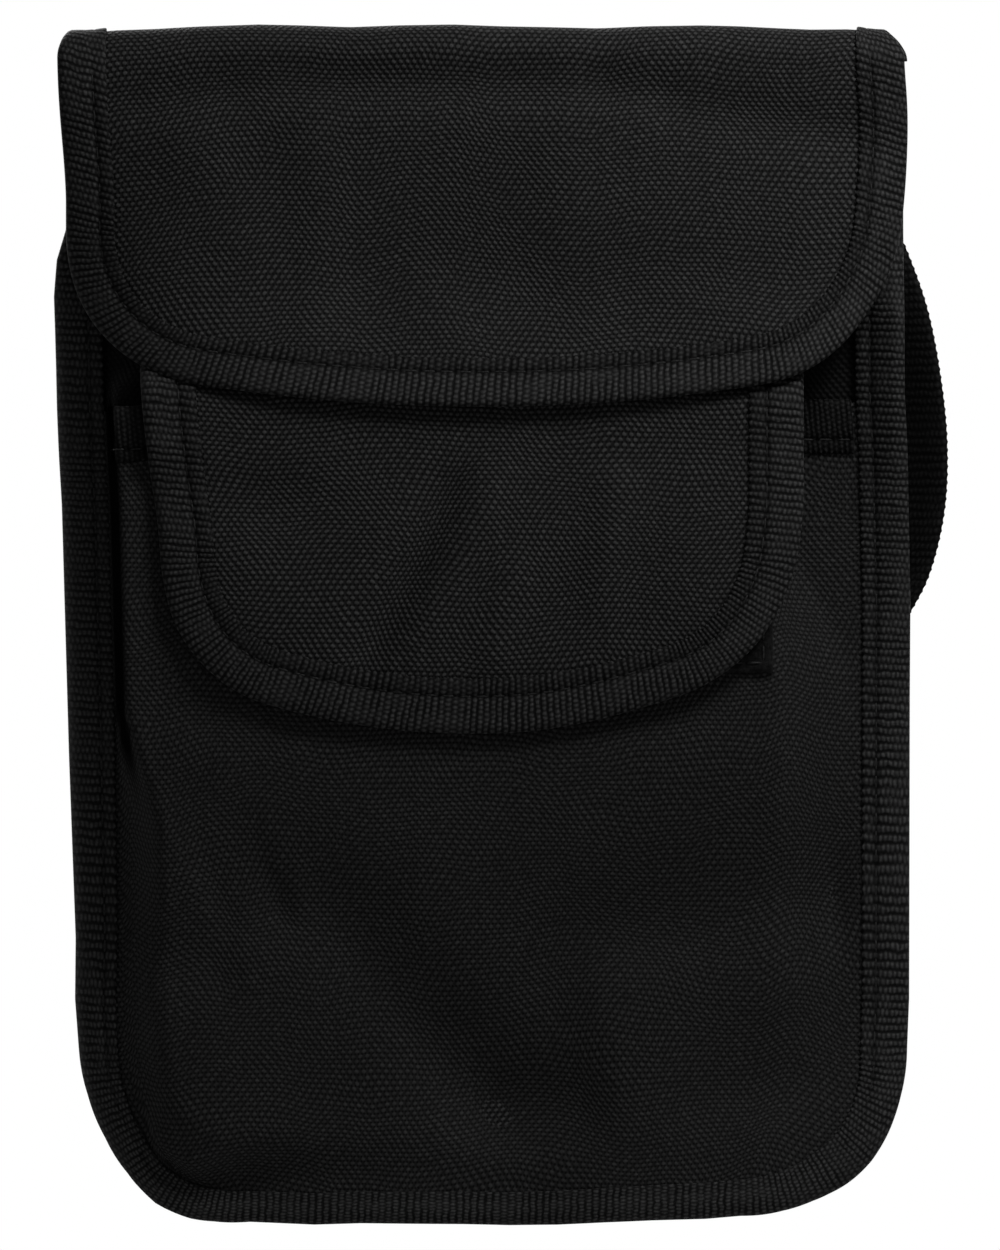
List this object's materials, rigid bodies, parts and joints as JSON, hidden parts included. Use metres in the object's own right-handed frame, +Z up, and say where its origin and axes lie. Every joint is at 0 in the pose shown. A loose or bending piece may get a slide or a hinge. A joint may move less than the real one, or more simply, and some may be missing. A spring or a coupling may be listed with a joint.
{
  "type": "neck pouch wallet",
  "caption": "Flat fabric neck pouch with taped edges, a wide hook-and-loop top flap, a front pocket under a smaller flap and a folded neck strap.",
  "frame": {"origin": "on the rear face at the middle of the pouch's top, where the neck strap's two ends hold it", "axes": "+Z up as worn, -Y out of the front, X across the pouch"},
  "size_m": [0.1462, 0.032, 0.197],
  "materials": {
    "cloth": "black plain-woven polyester",
    "lining": "black fine-woven lining",
    "binding_tape": "black ribbed binding tape",
    "hook_tape": "black hook tape",
    "loop_tape": "black napped loop tape",
    "webbing": "black woven webbing",
    "slider_plastic": "black moulded plastic"
  },
  "bodies": {
    "pouch": {"rear_panel": "cloth", "front_panel": "cloth", "front_pocket_panel": "cloth", "body_binding": "binding_tape", "main_mouth_binding": "binding_tape", "pocket_mouth_binding": "binding_tape", "main_loop_strip": "loop_tape", "pocket_loop_strip": "loop_tape", "main_flap_fold": "cloth", "pocket_flap_head": "cloth", "neck_strap_right": "webbing", "neck_strap_hank": "webbing", "neck_strap_left": "webbing", "strap_tie": "webbing", "strap_loop_tab": "webbing"},
    "main_flap": {"main_flap_outer": "cloth", "main_flap_lining": "lining", "main_flap_binding": "binding_tape", "main_hook_strip": "hook_tape"},
    "pocket_flap": {"pocket_flap_outer": "cloth", "pocket_flap_lining": "lining", "pocket_flap_binding": "binding_tape", "pocket_hook_strip": "hook_tape"},
    "slider": {"strap_slider": "slider_plastic"}
  },
  "joints": [
    {"name": "main_flap_lift", "type": "hinge", "parent": "pouch", "child": "main_flap", "pos_m": [0, -0.00522, -0.00522], "axis": [-1, 0, 0], "range_deg": [0, 180], "deforming": ["main_flap_fold"]},
    {"name": "pocket_flap_lift", "type": "hinge", "parent": "pouch", "child": "pocket_flap", "pos_m": [-0.0019, -0.0139, -0.066], "axis": [-1, 0, 0], "range_deg": [0, 110], "deforming": ["pocket_flap_head"]},
    {"name": "slider_travel", "type": "slide", "parent": "pouch", "child": "slider", "axis": [0, 0, 1], "range_m": [0, 0.028]}
  ]
}
